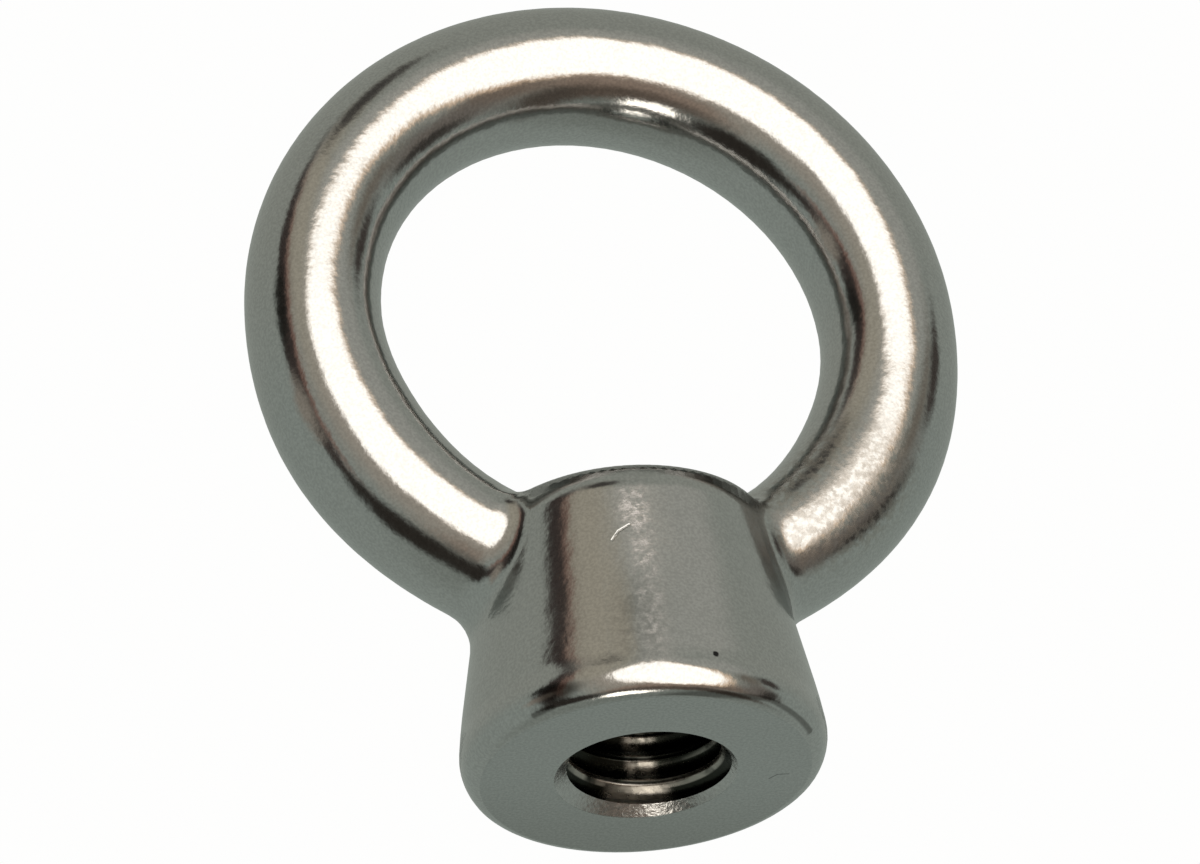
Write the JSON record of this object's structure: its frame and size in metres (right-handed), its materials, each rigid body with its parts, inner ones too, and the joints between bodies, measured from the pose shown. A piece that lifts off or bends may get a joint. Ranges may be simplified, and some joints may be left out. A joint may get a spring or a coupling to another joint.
{
  "type": "female eye terminal",
  "caption": "Polished steel eye nut: a closed round ring on a flared round boss, with a female metric thread that opens in its flat seat face.",
  "frame": {"origin": "centre of the flat seat face, on the thread's axis", "axes": "+Z along the thread's axis from the seat face towards the ring, the ring lies in the XZ plane, and Y runs through the eye"},
  "size_m": [0.0406, 0.0204, 0.0483],
  "materials": {
    "polished_stainless": "polished, with light scuffs"
  },
  "bodies": {
    "root": {"eye_terminal": "polished_stainless"}
  },
  "joints": []
}
